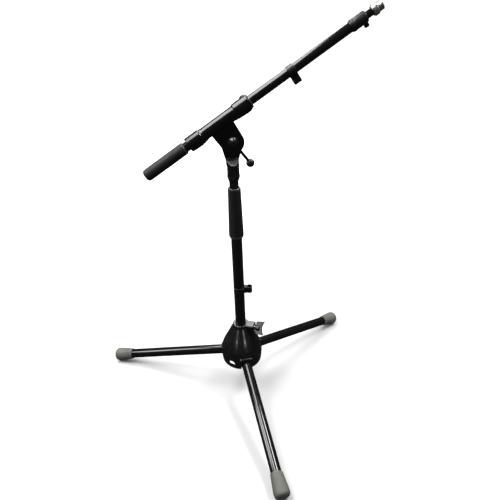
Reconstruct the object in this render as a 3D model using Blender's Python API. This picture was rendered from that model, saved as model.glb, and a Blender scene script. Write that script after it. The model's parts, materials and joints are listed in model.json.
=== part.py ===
"""Boom microphone stand: a low tripod stand with a twist-clutch post and a telescoping boom.

Units are metres and +Z is up. The origin is on the floor, in the middle of the stand's footprint. The post
stands on its own vertical axis, and every group is built in the frame of the joint that carries it:
a leg along +X of its hinge, the boom along +X of its pivot, with +Y pointing to the lever's side.
"""

import math

import bmesh
import bpy
import numpy
from mathutils import Matrix, Vector

# ---------------------------------------------------------------- driving dimensions

GAP = 0.0003  # clearance between neighbouring pieces

POST_PLACE = (0.0186, 0.0455)  # post axis, seen from the middle of the footprint

# Telescoping tubes: outer radius, wall
LOWER_TUBE_RADIUS = 0.010
ROD_RADIUS = 0.008
BOOM_RADIUS = 0.008
EXTENSION_RADIUS = 0.006
TUBE_WALL = 0.0012

# Base casting
COLLAR_TOP = 0.154
RIM_HEIGHT = 0.067
BELL_LOBE = 0.015  # swelling of the bell over each leg, as a share of its radius
BELL_WALL = 0.003
SLEEVE_RADIUS = 0.013
SLEEVE_BOTTOM = 0.070
LUG_AZIMUTH = math.radians(-18)
LUG_HEIGHT = 0.1462
LUG_HALF_WIDTH = 0.0098
LUG_END = 0.0278
WING_TILT = math.radians(-35)
WING_HALF_SPAN = 0.0132
HOOD_REACH = 0.0424  # lip over each leg, from the post axis
HOOD_ROOT = 0.0378  # where the lip joins the bell wall
HOOD_HALF_WIDTH = 0.0130
HOOD_BOTTOM = 0.0860
HOOD_TOP = 0.0938
WINDOW_FROM_LEG = math.radians(-43)
WINDOW_RADIUS = 0.0067
WINDOW_SILL = 0.0765

# Legs
LEGS = {"front": math.radians(-79.2), "right": math.radians(40.8), "left": math.radians(160.8)}
LEG_SLOPE = math.radians(15.02)
LEG_RADIUS = 0.0095
HINGE_REACH = 0.027
HINGE_HEIGHT = 0.0828
KNUCKLE_END = 0.013  # square part of the knuckle, from its hinge pin
KNUCKLE_PLUG = 0.032  # round part, pressed into the tube
LEG_LENGTH = 0.277  # hinge pin to the tip of the foot
FOOT_LENGTH = 0.042
PIN_RADIUS = 0.0025
CHEEK_INNER = 0.0102
CHEEK_OUTER = 0.0132
SLOT_HALF = 0.0099

# Post
TUBE_BOTTOM = 0.0665
TUBE_TOP = 0.356
POST_CLIP_BOTTOM = 0.2255
POST_CLIP_AZIMUTH = math.radians(4)
CLIP_WIDTH = 0.0125
CLIP_BAND = 0.0012
CLIP_REACH = 0.0095  # tube surface to the middle of the cable holder
CABLE_HOLDER_RADIUS = 0.006
CABLE_RADIUS = 0.0042
SLEEVE_LOW = 0.349
SLEEVE_HIGH = 0.437
SLEEVE_LOW_RADIUS = 0.0133
SLEEVE_HIGH_RADIUS = 0.0112
GRIP_SKIN = 0.0012
ROD_BOTTOM = 0.106
ROD_TOP = 0.452

# Swivel and pivot
HEADING = math.radians(10)  # direction of the boom round the post
ELEVATION = math.radians(31.4)  # slope of the boom
PIVOT_HEIGHT = 0.5208
COLUMN_BOTTOM = 0.4593
COLUMN_RADIUS = 0.0104
LEDGE_BACK = 0.492
LEDGE_FRONT = 0.4815
EAR_RADIUS = 0.019
EAR_FACE = 0.0009
EAR_BACK = 0.0099
BOLT_RADIUS = 0.004
DOME_RADIUS = 0.0097
DOME_HEIGHT = 0.0052
LEVER_ANGLE = math.radians(-54.6)
LEVER_REACH = 0.0584
BALL_RADIUS = 0.0073
BALL_OFFSET = 0.0195

# Boom, measured along its axis from the foot of the perpendicular from the pivot
BOOM_RISE = 0.0392  # pivot axis to boom axis
PLATE_BACK = -0.0009
PLATE_FRONT = -0.009
BOOM_OFFSET = (PLATE_BACK + PLATE_FRONT) / 2
PLATE_RADIUS = 0.0195
CRADLE_RADIUS = 0.0105
COLLAR_RADIUS = 0.0122
REAR_COLLAR = (-0.0605, -0.0345)
FRONT_COLLAR = (0.0315, 0.0588)
BUSH_FLANGE_END = 0.0608
BUSH_SEAT = 0.0100
KNOB_ALONG = 0.0540
KNOB_RADIUS = 0.0082
BOSS_FACE = 0.0128  # far end of the clamp boss, from the boom axis
BOOM_REAR = -0.1440
BOOM_FRONT = 0.262
GRIP_REAR = -0.1470
GRIP_FRONT = -0.0702
GRIP_RADIUS = 0.0103
BOOM_CLIP_REAR = 0.1337
CLUTCH_REAR = 0.2500
CLUTCH_FRONT = 0.279
CLUTCH_SCREW_ALONG = 0.2740
EXTENSION_REAR = -0.120
EXTENSION_FRONT = 0.2905
NUT_REAR = 0.2915
NUT_FRONT = 0.3005
NUT_RADIUS = 0.0097
THREAD_RADIUS = 0.0079
THREAD_FRONT = 0.309

FINE = 42  # sides of the bell
ROUND = 28  # sides of tubes and other large rounds
SMALL = 16  # sides of pins and small rounds
SMOOTH_BELOW = math.radians(35)

ALONG_X = Matrix.Rotation(math.radians(90), 4, "Y")
ALONG_Y = Matrix.Rotation(math.radians(-90), 4, "X")

# Colour, roughness and metallic value of each finish
FINISHES = {
    "cast_black": ((0.012, 0.012, 0.012), 0.32, 0.0),
    "tube_black": ((0.010, 0.010, 0.010), 0.22, 0.0),
    "plastic_black": ((0.020, 0.020, 0.020), 0.45, 0.0),
    "soft_grey": ((0.060, 0.060, 0.058), 0.75, 0.0),
    "rubber_grey": ((0.200, 0.200, 0.180), 0.85, 0.0),
    "trim_grey": ((0.450, 0.450, 0.440), 0.40, 0.0),
    "steel": ((0.560, 0.560, 0.560), 0.30, 1.0),
    "bright_steel": ((0.800, 0.800, 0.800), 0.15, 1.0),
    "bronze": ((0.500, 0.320, 0.140), 0.40, 1.0),
}


# ---------------------------------------------------------------- shapes

def arc(centre, radius, start, end, steps):
    """Points on a circle from start to end, in degrees."""
    points = []
    for step in range(steps + 1):
        angle = math.radians(start + (end - start) * step / steps)
        points.append((centre[0] + radius * math.cos(angle), centre[1] + radius * math.sin(angle)))
    return points


def turned(profile, sides=ROUND, swell=None):
    """A closed solid turned round Z from (radius, height) points.

    A profile that starts and ends on the axis is a plug; any other is joined back to its start.
    swell, if given, scales the radius by angle and height.
    """
    shape = bmesh.new()
    rings = []
    for radius, height in profile:
        if radius == 0:
            rings.append([shape.verts.new((0, 0, height))])
            continue
        ring = []
        for side in range(sides):
            angle = 2 * math.pi * side / sides
            reach = radius * (swell(angle, radius, height) if swell else 1)
            ring.append(shape.verts.new((reach * math.cos(angle), reach * math.sin(angle), height)))
        rings.append(ring)
    pairs = list(zip(rings, rings[1:]))
    if len(rings[0]) > 1:
        pairs.append((rings[-1], rings[0]))
    for near, far in pairs:
        for side in range(sides):
            following = (side + 1) % sides
            corners = [near[side % len(near)], near[following % len(near)]]
            corners += [far[following % len(far)], far[side % len(far)]]
            unique = list(dict.fromkeys(corners))
            if len(unique) > 2:
                shape.faces.new(unique)
    bmesh.ops.recalc_face_normals(shape, faces=shape.faces)
    return shape


def tube(outer, inner, low, high, sides=ROUND):
    """A plain tube round Z."""
    return turned([(outer, low), (outer, high), (inner, high), (inner, low)], sides)


def rod(radius, low, high, sides=SMALL):
    """A solid round bar on Z."""
    return turned([(0, low), (radius, low), (radius, high), (0, high)], sides)


def chamfered(radius, low, high, chamfer, sides=SMALL):
    """A solid round bar on Z with both ends chamfered."""
    profile = [(0, low), (radius - chamfer, low), (radius, low + chamfer)]
    profile += [(radius, high - chamfer), (radius - chamfer, high), (0, high)]
    return turned(profile, sides)


def slab(outline, near, far):
    """An outline in X and Z, extruded along Y from near to far."""
    shape = bmesh.new()
    face = shape.faces.new([shape.verts.new((x, near, z)) for x, z in outline])
    extruded = bmesh.ops.extrude_face_region(shape, geom=[face])
    moved = [item for item in extruded["geom"] if isinstance(item, bmesh.types.BMVert)]
    bmesh.ops.translate(shape, verts=moved, vec=(0, far - near, 0))
    bmesh.ops.recalc_face_normals(shape, faces=shape.faces)
    return shape


def box(low, high):
    """A plain block between two corners."""
    outline = [(low[0], low[2]), (high[0], low[2]), (high[0], high[2]), (low[0], high[2])]
    return slab(outline, low[1], high[1])


def ball(centre, radius, segments=20, rings=12):
    """A round ball."""
    shape = bmesh.new()
    place = Matrix.Translation(centre)
    bmesh.ops.create_uvsphere(shape, u_segments=segments, v_segments=rings, radius=radius, matrix=place)
    return shape


def placed(shape, *moves):
    """The shape after each matrix in turn."""
    for move in moves:
        bmesh.ops.transform(shape, matrix=move, verts=shape.verts)
    return shape


def scratch(shape):
    """A temporary object that holds a shape for a Boolean."""
    mesh = bpy.data.meshes.new("scratch")
    shape.to_mesh(mesh)
    shape.free()
    item = bpy.data.objects.new("scratch", mesh)
    bpy.context.scene.collection.objects.link(item)
    return item


def combine(body, tool, operation):
    """body with tool cut from it (DIFFERENCE), joined to it (UNION) or kept where they meet (INTERSECT)."""
    first = scratch(body)
    second = scratch(tool)
    modifier = first.modifiers.new("combine", "BOOLEAN")
    modifier.operation = operation
    modifier.object = second
    bpy.context.view_layer.update()
    graph = bpy.context.evaluated_depsgraph_get()
    mesh = bpy.data.meshes.new_from_object(first.evaluated_get(graph))
    result = bmesh.new()
    result.from_mesh(mesh)
    bmesh.ops.remove_doubles(result, verts=result.verts, dist=0.000002)
    bpy.data.meshes.remove(mesh)
    for item in (first, second):
        spare = item.data
        bpy.data.objects.remove(item)
        bpy.data.meshes.remove(spare)
    return result


def cut(body, *tools):
    """body with each tool cut from it."""
    for tool in tools:
        body = combine(body, tool, "DIFFERENCE")
    return body


def joined(body, *tools):
    """body with each tool joined to it."""
    for tool in tools:
        body = combine(body, tool, "UNION")
    return body


# ---------------------------------------------------------------- objects

def finish(name):
    """The Principled material of a finish, made the first time it is asked for."""
    if name in bpy.data.materials:
        return bpy.data.materials[name]
    colour, roughness, metallic = FINISHES[name]
    material = bpy.data.materials.new(name)
    material.use_nodes = True
    shader = material.node_tree.nodes["Principled BSDF"]
    shader.inputs["Base Color"].default_value = (*colour, 1)
    shader.inputs["Roughness"].default_value = roughness
    shader.inputs["Metallic"].default_value = metallic
    return material


def frame(name, parent=None, place=(0, 0, 0), turn=(0, 0, 0)):
    """An empty that carries the pieces of one joint."""
    empty = bpy.data.objects.new(name, None)
    bpy.context.scene.collection.objects.link(empty)
    empty.parent = parent
    empty.location = place
    empty.rotation_euler = turn
    return empty


def piece(name, shape, look, parent):
    """A named solid in its parent's frame, with its own copy of a finish."""
    mesh = bpy.data.meshes.new(name)
    shape.to_mesh(mesh)
    shape.free()
    material = finish(look).copy()
    material.name = name
    mesh.materials.append(material)
    mesh.shade_smooth()
    mesh.set_sharp_from_angle(angle=SMOOTH_BELOW)
    item = bpy.data.objects.new(name, mesh)
    item.parent = parent
    bpy.context.scene.collection.objects.link(item)
    return item


# ---------------------------------------------------------------- base

def bell_shell():
    """The bell: collar, flared skirt and the inner sleeve that guides the post, as one turned wall."""
    outside = [
        (0.0147, COLLAR_TOP),
        (0.0154, COLLAR_TOP - 0.0008),
        (0.0166, 0.1490),
        (0.0183, 0.1440),
        (0.0209, 0.1390),
        (0.0254, 0.1290),
        (0.0298, 0.1220),
        (0.0345, 0.1130),
        (0.0382, 0.1040),
        (0.0401, 0.0950),
        (0.0406, 0.0880),
        (0.0402, 0.0800),
        (0.0392, 0.0720),
        (0.0382, RIM_HEIGHT),
    ]
    inside = [(0.0350, RIM_HEIGHT)]
    inside += [(radius - BELL_WALL, height) for radius, height in reversed(outside[7:12])]
    inside += [(0.0270, 0.1190), (0.0200, 0.1250), (SLEEVE_RADIUS, 0.1280)]
    inside += [(SLEEVE_RADIUS, SLEEVE_BOTTOM), (LOWER_TUBE_RADIUS + GAP, SLEEVE_BOTTOM)]
    inside += [(LOWER_TUBE_RADIUS + GAP, COLLAR_TOP)]

    def swell(angle, radius, height):
        share = min(max((0.148 - height) / 0.05, 0), 1) * min(max((radius - SLEEVE_RADIUS) / 0.01, 0), 1)
        return 1 + BELL_LOBE * share * math.cos(3 * (angle - LEGS["front"]))

    return turned(outside + inside, FINE, swell)


def leg_matrix(azimuth):
    """The leg's frame, with its hinge pin at the origin, in the post's frame."""
    place = Vector((HINGE_REACH * math.cos(azimuth), HINGE_REACH * math.sin(azimuth), HINGE_HEIGHT))
    turn = Matrix.Rotation(azimuth, 4, "Z") @ Matrix.Rotation(LEG_SLOPE, 4, "Y")
    return Matrix.Translation(place) @ turn


def leg_slot(azimuth):
    """The opening in the skirt that one leg swings through."""
    outline = [(-SLOT_HALF, -0.045), (SLOT_HALF, -0.045)]
    outline += arc((SLOT_HALF - 0.0035, SLOT_HALF - 0.0035), 0.0035, 0, 90, 4)
    outline += arc((0.0035 - SLOT_HALF, SLOT_HALF - 0.0035), 0.0035, 90, 180, 4)
    opening = slab(outline, -0.040, -0.002)
    return placed(opening, Matrix.Rotation(math.radians(90), 4, "Z"), leg_matrix(azimuth))


def hood(azimuth):
    """The lip that stands out of the skirt round one leg."""
    half = HOOD_HALF_WIDTH
    outline = [(-half, HOOD_BOTTOM), (half, HOOD_BOTTOM)]
    outline += arc((half - 0.003, HOOD_TOP - 0.003), 0.003, 0, 90, 3)
    outline += arc((0.003 - half, HOOD_TOP - 0.003), 0.003, 90, 180, 3)
    lip = slab(outline, -HOOD_REACH, -HOOD_ROOT)
    return placed(lip, Matrix.Rotation(azimuth + math.radians(90), 4, "Z"))


def window(azimuth):
    """A small half-round opening in the skirt, just above its rim."""
    outline = arc((0, WINDOW_SILL + 0.0018), WINDOW_RADIUS, 0, 180, 10)
    outline += [(-WINDOW_RADIUS, WINDOW_SILL), (WINDOW_RADIUS, WINDOW_SILL)]
    opening = slab(outline, 0.030, 0.048)
    return placed(opening, Matrix.Rotation(azimuth - math.radians(90), 4, "Z"))


def build_base(stand):
    """The casting and its hinge pins."""
    casting = bell_shell()
    for azimuth in LEGS.values():
        turn = Matrix.Rotation(azimuth, 4, "Z")
        for side in (-1, 1):
            near, far = sorted((side * CHEEK_INNER, side * CHEEK_OUTER))
            cheek = box((0.006, near, 0.073), (0.0350, far, 0.098))
            casting = joined(casting, placed(cheek, turn))
        casting = joined(casting, hood(azimuth))
    lug_turn = Matrix.Rotation(LUG_AZIMUTH, 4, "Z")
    lift = Matrix.Translation((0, 0, LUG_HEIGHT))
    half = LUG_HALF_WIDTH
    outline = arc((0, LUG_HEIGHT), half, 180, 360, 14)
    outline += [(half, COLLAR_TOP - 0.0009), (half - 0.0008, COLLAR_TOP - 0.0001)]
    outline += [(0.0008 - half, COLLAR_TOP - 0.0001), (-half, COLLAR_TOP - 0.0009)]
    lug = placed(slab(outline, -LUG_END, -0.0120), Matrix.Rotation(math.radians(90), 4, "Z"))
    casting = joined(casting, placed(lug, lug_turn))
    screw_hole = placed(rod(0.0043, 0.005, LUG_END + 0.005), ALONG_X, lift, lug_turn)
    casting = cut(casting, screw_hole)
    for azimuth in LEGS.values():
        hole = placed(rod(PIN_RADIUS + GAP, -0.0138, 0.0138), ALONG_Y, leg_matrix(azimuth))
        casting = cut(casting, leg_slot(azimuth), window(azimuth + WINDOW_FROM_LEG), hole)
    piece("base_casting", casting, "cast_black", stand)

    for name, azimuth in LEGS.items():
        pin = placed(chamfered(PIN_RADIUS, -0.0129, 0.0129, 0.0004), ALONG_Y, leg_matrix(azimuth))
        piece(f"leg_{name}_pin", pin, "steel", stand)


def build_base_screw(stand):
    """The wing screw that clamps the post in the collar."""
    screw = frame("base_screw_axis", stand, (0, 0, LUG_HEIGHT), (0, 0, LUG_AZIMUTH))
    pad = placed(rod(0.0038, 0.0104, 0.0124), ALONG_X)
    piece("base_clamp_pad", pad, "bronze", screw)
    shank = placed(chamfered(0.004, 0.0127, LUG_END + 0.0090, 0.0005), ALONG_X)
    piece("base_screw_shank", shank, "steel", screw)
    start = LUG_END + 0.0022
    end = start + 0.0170
    span = WING_HALF_SPAN
    outline = [(start + 0.0012, -span + 0.0020), (start + 0.0032, -span + 0.0006), (end - 0.0020, -span)]
    outline += arc((end + 0.0168, 0), 0.0210, 217, 143, 8)
    outline += [(end - 0.0020, span), (start + 0.0032, span - 0.0006), (start + 0.0012, span - 0.0020)]
    wing = slab(outline, -0.0034, 0.0034)
    hub = placed(chamfered(0.0062, start, start + 0.0085, 0.0008), ALONG_X)
    bore = placed(rod(0.0043, 0.020, LUG_END + 0.0093), ALONG_X)
    wing = placed(cut(joined(wing, hub), bore), Matrix.Rotation(WING_TILT, 4, "X"))
    piece("base_screw_wing", wing, "cast_black", screw)


def build_leg(stand, name, azimuth):
    """One leg along +X of its hinge: tube, knuckle plugged into it, and rubber foot."""
    place = (HINGE_REACH * math.cos(azimuth), HINGE_REACH * math.sin(azimuth), HINGE_HEIGHT)
    hinge = frame(f"leg_{name}_hinge", stand, place, (0, LEG_SLOPE, azimuth))
    tube_end = LEG_LENGTH - 0.012
    bore = LEG_RADIUS - TUBE_WALL
    leg = placed(tube(LEG_RADIUS, bore, KNUCKLE_END + GAP, tube_end), ALONG_X)
    piece(f"leg_{name}_tube", leg, "tube_black", hinge)

    outline = arc((0, 0), LEG_RADIUS, 90, 270, 16) + [(KNUCKLE_END, -LEG_RADIUS), (KNUCKLE_END, LEG_RADIUS)]
    knuckle = slab(outline, -LEG_RADIUS, LEG_RADIUS)
    knuckle = combine(knuckle, placed(rod(0.0122, -0.02, 0.02, 36), ALONG_X), "INTERSECT")
    plug = chamfered(bore - GAP, KNUCKLE_END - 0.001, KNUCKLE_PLUG, 0.0006, 24)
    knuckle = joined(knuckle, placed(plug, ALONG_X))
    knuckle = cut(knuckle, placed(rod(PIN_RADIUS + GAP, -0.02, 0.02), ALONG_Y))
    piece(f"leg_{name}_knuckle", knuckle, "plastic_black", hinge)

    start = LEG_LENGTH - FOOT_LENGTH
    profile = [
        (LEG_RADIUS + GAP, start),
        (0.0108, start + 0.0004),
        (0.0112, start + 0.0030),
        (0.0124, start + 0.0150),
        (0.0134, start + 0.0250),
        (0.0139, start + 0.0320),
        (0.0136, start + 0.0365),
        (0.0122, start + 0.0398),
        (0.0085, start + 0.0416),
        (0, LEG_LENGTH),
    ]
    socket = [(0, tube_end + GAP), (LEG_RADIUS + GAP, tube_end + GAP)]
    foot = placed(turned(socket + profile, 28), ALONG_X)
    floor = placed(box((-0.4, -0.4, -0.05), (0.4, 0.4, 0)), leg_matrix(azimuth).inverted())
    piece(f"leg_{name}_foot", cut(foot, floor), "rubber_grey", hinge)


# ---------------------------------------------------------------- post

def cable_clip(tube_radius):
    """A spring clip round a tube on Z, with an open holder for a cable at +X."""
    outer = tube_radius + GAP + CLIP_BAND
    reach = tube_radius + CLIP_REACH
    band = tube(outer, tube_radius + GAP, 0, CLIP_WIDTH, 28)
    holder = tube(CABLE_HOLDER_RADIUS, CABLE_RADIUS, 0, CLIP_WIDTH, 20)
    holder = placed(holder, Matrix.Translation((reach, 0, 0)))
    neck = box((outer - 0.0008, -0.0052, 0), (reach - CABLE_RADIUS - 0.0006, 0.0052, CLIP_WIDTH))
    mouth = box((reach, -0.0024, -0.005), (reach + 0.010, 0.0024, CLIP_WIDTH + 0.005))
    back = box((-0.020, -0.0050, -0.005), (-0.004, 0.0050, CLIP_WIDTH + 0.005))
    return cut(joined(band, holder, neck), mouth, back)


def build_post_tube(stand):
    """The lower tube with its plug, cable clip and clutch."""
    post = frame("post_tube_axis", stand)
    bore = LOWER_TUBE_RADIUS - TUBE_WALL
    piece("post_lower_tube", tube(LOWER_TUBE_RADIUS, bore, TUBE_BOTTOM, TUBE_TOP), "tube_black", post)

    head_top = TUBE_BOTTOM - GAP
    plug = [(0, 0.061), (0.0105, 0.061), (0.0115, 0.062), (0.0115, head_top)]
    plug += [(bore - GAP, head_top), (bore - GAP, head_top + 0.014), (0, head_top + 0.014)]
    piece("post_tube_plug", turned(plug), "plastic_black", post)

    clip_axis = frame("post_clip_axis", post, (0, 0, POST_CLIP_BOTTOM), (0, 0, POST_CLIP_AZIMUTH))
    piece("post_cable_clip", cable_clip(LOWER_TUBE_RADIUS), "plastic_black", clip_axis)

    def taper(height, inset):
        share = (height - SLEEVE_LOW) / (SLEEVE_HIGH - SLEEVE_LOW)
        return SLEEVE_LOW_RADIUS + (SLEEVE_HIGH_RADIUS - SLEEVE_LOW_RADIUS) * share - inset

    body_inset = GRIP_SKIN + GAP
    socket = LOWER_TUBE_RADIUS + GAP
    body = [
        (taper(SLEEVE_LOW, body_inset), SLEEVE_LOW),
        (taper(SLEEVE_HIGH, body_inset), SLEEVE_HIGH),
        (ROD_RADIUS + GAP, SLEEVE_HIGH),
        (ROD_RADIUS + GAP, 0.386),
        (socket, 0.386),
        (socket, SLEEVE_LOW),
    ]
    piece("clutch_body", turned(body), "plastic_black", post)

    collet = tube(socket - GAP, ROD_RADIUS + GAP, TUBE_TOP + GAP, 0.3857)
    split = box((0.004, -0.0008, 0.350), (0.015, 0.0008, 0.390))
    piece("clutch_collet", cut(collet, split), "plastic_black", post)

    skin = [(taper(SLEEVE_LOW, 0), SLEEVE_LOW), (taper(SLEEVE_HIGH, 0), SLEEVE_HIGH)]
    skin += [(taper(SLEEVE_HIGH, GRIP_SKIN), SLEEVE_HIGH), (taper(SLEEVE_LOW, GRIP_SKIN), SLEEVE_LOW)]
    piece("clutch_sleeve", turned(skin), "soft_grey", post)

    low = SLEEVE_LOW - GAP
    bottom = [(SLEEVE_LOW_RADIUS - 0.0002, low), (SLEEVE_LOW_RADIUS - 0.0004, low - 0.0020)]
    bottom += [(0.0112, low - 0.0052), (socket, low - 0.0052), (socket, low)]
    piece("clutch_bottom_ring", turned(bottom), "trim_grey", post)
    high = SLEEVE_HIGH + GAP
    top = [(0.0100, high + 0.0024), (0.0109, high + 0.0018), (0.0110, high)]
    top += [(ROD_RADIUS + GAP, high), (ROD_RADIUS + GAP, high + 0.0024)]
    piece("clutch_top_ring", turned(top[::-1]), "trim_grey", post)


def build_rod(stand):
    """The sliding rod with its guide bush, stud and lock ring."""
    post = frame("post_rod_axis", stand)
    bore = ROD_RADIUS - TUBE_WALL
    piece("post_inner_rod", tube(ROD_RADIUS, bore, ROD_BOTTOM, ROD_TOP), "tube_black", post)

    guide_radius = LOWER_TUBE_RADIUS - TUBE_WALL - GAP
    guide = [(0, 0.100), (guide_radius - 0.0005, 0.100), (guide_radius, 0.1005)]
    guide += [(guide_radius, ROD_BOTTOM - GAP), (bore - GAP, ROD_BOTTOM - GAP)]
    guide += [(bore - GAP, ROD_BOTTOM + 0.012), (0, ROD_BOTTOM + 0.012)]
    piece("post_rod_guide", turned(guide), "plastic_black", post)

    stud = [(0, 0.438), (bore - GAP, 0.438), (bore - GAP, ROD_TOP), (0.0048, ROD_TOP)]
    stud += [(0.0048, 0.4755), (0.0043, 0.476), (0, 0.476)]
    piece("post_rod_stud", turned(stud, 24), "steel", post)

    ring = [
        (0.0102, COLUMN_BOTTOM - GAP),
        (0.0105, COLUMN_BOTTOM - 0.0010),
        (0.0100, COLUMN_BOTTOM - 0.0030),
        (0.0092, COLUMN_BOTTOM - 0.0035),
        (0.0093, COLUMN_BOTTOM - 0.0050),
        (0.0086, ROD_TOP + GAP),
        (0.0051, ROD_TOP + GAP),
        (0.0051, COLUMN_BOTTOM - GAP),
    ]
    piece("swivel_lock_ring", turned(ring), "cast_black", post)


# ---------------------------------------------------------------- swivel

def build_swivel(stand):
    """The swivel column with its ear, the pivot bolt and the friction washer."""
    swivel = frame("swivel_axis", stand, (0, 0, 0), (0, 0, HEADING))
    column = turned([
        (0, 0.4790),
        (0.0051, 0.4790),
        (0.0051, COLUMN_BOTTOM),
        (0.0105, COLUMN_BOTTOM),
        (0.0109, COLUMN_BOTTOM + 0.0006),
        (0.0109, COLUMN_BOTTOM + 0.0028),
        (COLUMN_RADIUS, COLUMN_BOTTOM + 0.0036),
        (COLUMN_RADIUS, 0.4960),
        (0, 0.4960),
    ])
    fall = (LEDGE_BACK - LEDGE_FRONT) / (COLUMN_RADIUS + EAR_FACE)
    scoop = [(EAR_FACE, LEDGE_BACK), (EAR_FACE, 0.530), (-0.030, 0.530)]
    scoop += [(-0.030, LEDGE_BACK - fall * (0.030 + EAR_FACE))]
    scoop = placed(slab(scoop, -0.030, 0.030), Matrix.Rotation(math.radians(90), 4, "Z"))
    outline = arc((0, PIVOT_HEIGHT), EAR_RADIUS, -14, 194, 22)
    outline += [(-COLUMN_RADIUS + 0.0002, 0.4850), (-COLUMN_RADIUS + 0.0002, 0.4780)]
    outline += [(COLUMN_RADIUS - 0.0002, 0.4780), (COLUMN_RADIUS - 0.0002, 0.4850)]
    column = joined(cut(column, scoop), slab(outline, EAR_FACE, EAR_BACK))
    pivot = Matrix.Translation((0, 0, PIVOT_HEIGHT))
    column = cut(column, placed(rod(BOLT_RADIUS + GAP, -0.02, 0.02), ALONG_Y, pivot))
    piece("swivel_column", column, "cast_black", swivel)

    washer = placed(tube(0.0165, BOLT_RADIUS + GAP, -0.0006, 0.0006), ALONG_Y)
    axis = frame("pivot_bolt_axis", swivel, (0, 0, PIVOT_HEIGHT))
    piece("pivot_friction_washer", washer, "bronze", axis)

    seat = PLATE_FRONT - GAP
    sphere = (DOME_RADIUS ** 2 + DOME_HEIGHT ** 2) / (2 * DOME_HEIGHT)
    spread = math.degrees(math.asin(DOME_RADIUS / sphere))
    dome = arc((0, seat - DOME_HEIGHT + sphere), sphere, -90, -90 + spread, 7)
    profile = [(0, seat - DOME_HEIGHT)] + dome[1:]
    profile += [(BOLT_RADIUS, seat), (BOLT_RADIUS, 0.0180), (0, 0.0180)]
    bolt = placed(turned(profile), ALONG_Y)
    socket = placed(turned([(0, -0.004), (0.0030, -0.004), (0.0030, 0.0015), (0, 0.0015)], 6), ALONG_Y)
    socket = placed(socket, Matrix.Translation((0, seat - DOME_HEIGHT, 0)))
    piece("pivot_bolt", cut(bolt, socket), "cast_black", axis)
    return swivel


def build_lever(swivel):
    """The clamping lever on the far end of the pivot bolt."""
    lever = frame("lever_axis", swivel, (0, 0, PIVOT_HEIGHT), (0, -LEVER_ANGLE, 0))
    start = EAR_BACK + GAP
    hub = [(0, 0.0184), (BOLT_RADIUS + GAP, 0.0184), (BOLT_RADIUS + GAP, start), (0.0078, start)]
    hub += [(0.0084, start + 0.0008), (0.0084, 0.0182), (0.0072, 0.0205), (0, 0.0210)]
    hub = placed(turned(hub), ALONG_Y)
    root = Vector((0.0066, 0.0150, 0))
    tip = Vector((LEVER_REACH, BALL_OFFSET, 0))
    lean = Vector((0, 0, 1)).rotation_difference(tip - root).to_matrix().to_4x4()
    length = (tip - root).length
    place = Matrix.Translation(root)
    hub = cut(hub, placed(rod(0.0026 + GAP, -0.0005, 0.010), lean, place))
    piece("lever_hub", hub, "cast_black", lever)
    bar = placed(rod(0.0026, 0, length - 0.0030, 16), lean, place)
    piece("lever_rod", bar, "cast_black", lever)
    knob = cut(ball(tip, BALL_RADIUS), placed(rod(0.0026 + GAP, 0, length - 0.0030 + GAP, 16), lean, place))
    piece("lever_ball", knob, "plastic_black", lever)


# ---------------------------------------------------------------- boom holder

def lobe(sections):
    """A solid through circles along X, each given as (along, radius, drop below the axis)."""
    alongs = [section[0] for section in sections]
    drops = [section[2] for section in sections]
    profile = [(0, alongs[0])] + [(radius, along) for along, radius, drop in sections] + [(0, alongs[-1])]
    shape = turned(profile)
    for vert in shape.verts:
        vert.co.x += numpy.interp(vert.co.z, alongs, drops)
    return placed(shape, ALONG_X)


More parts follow.
